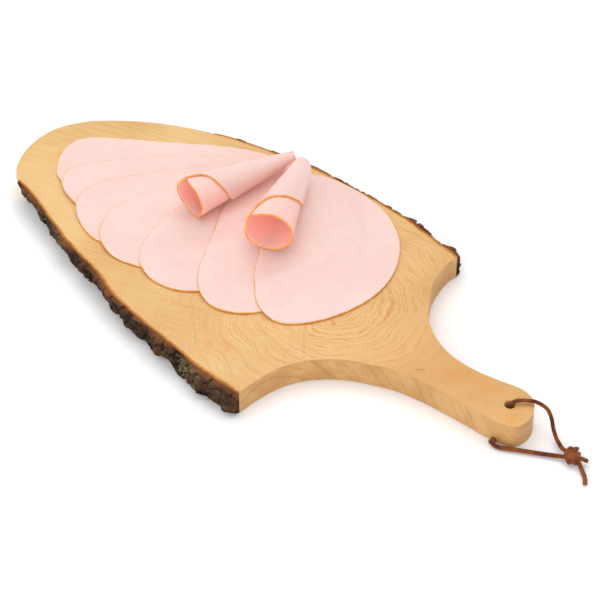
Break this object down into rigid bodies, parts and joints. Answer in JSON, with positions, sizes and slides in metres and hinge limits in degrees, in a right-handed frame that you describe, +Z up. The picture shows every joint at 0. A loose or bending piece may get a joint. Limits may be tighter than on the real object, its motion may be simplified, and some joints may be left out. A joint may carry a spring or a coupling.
{
  "type": "sliced turkey ham on a board",
  "caption": "Thin oval slices of smoked turkey ham, fanned out with rolled slices on a bark-edged wooden board with a handle and a leather hanging thong.",
  "frame": {"origin": "middle of the board's footprint, on its underside", "axes": "+X along the board towards its handle, +Y towards the long bark edge behind the rolls, +Z up"},
  "size_m": [0.4386, 0.1953, 0.055],
  "materials": {
    "ham": "moist pale pink meat with a thin amber smoked rim",
    "wood": "oiled pale hardwood",
    "bark": "rough dark bark",
    "thong": "soft brown suede"
  },
  "bodies": {
    "root": {"board": "wood", "bark_front": "bark", "bark_back": "bark", "ham_slice_1": "ham", "ham_slice_2": "ham", "ham_slice_3": "ham", "ham_slice_4": "ham", "ham_slice_5": "ham", "ham_slice_6": "ham", "ham_slice_7": "ham", "ham_roll_left": "ham", "ham_roll_right": "ham", "thong_upper": "thong", "thong_lower": "thong", "thong_tail": "thong", "thong_knot": "thong"}
  },
  "joints": []
}
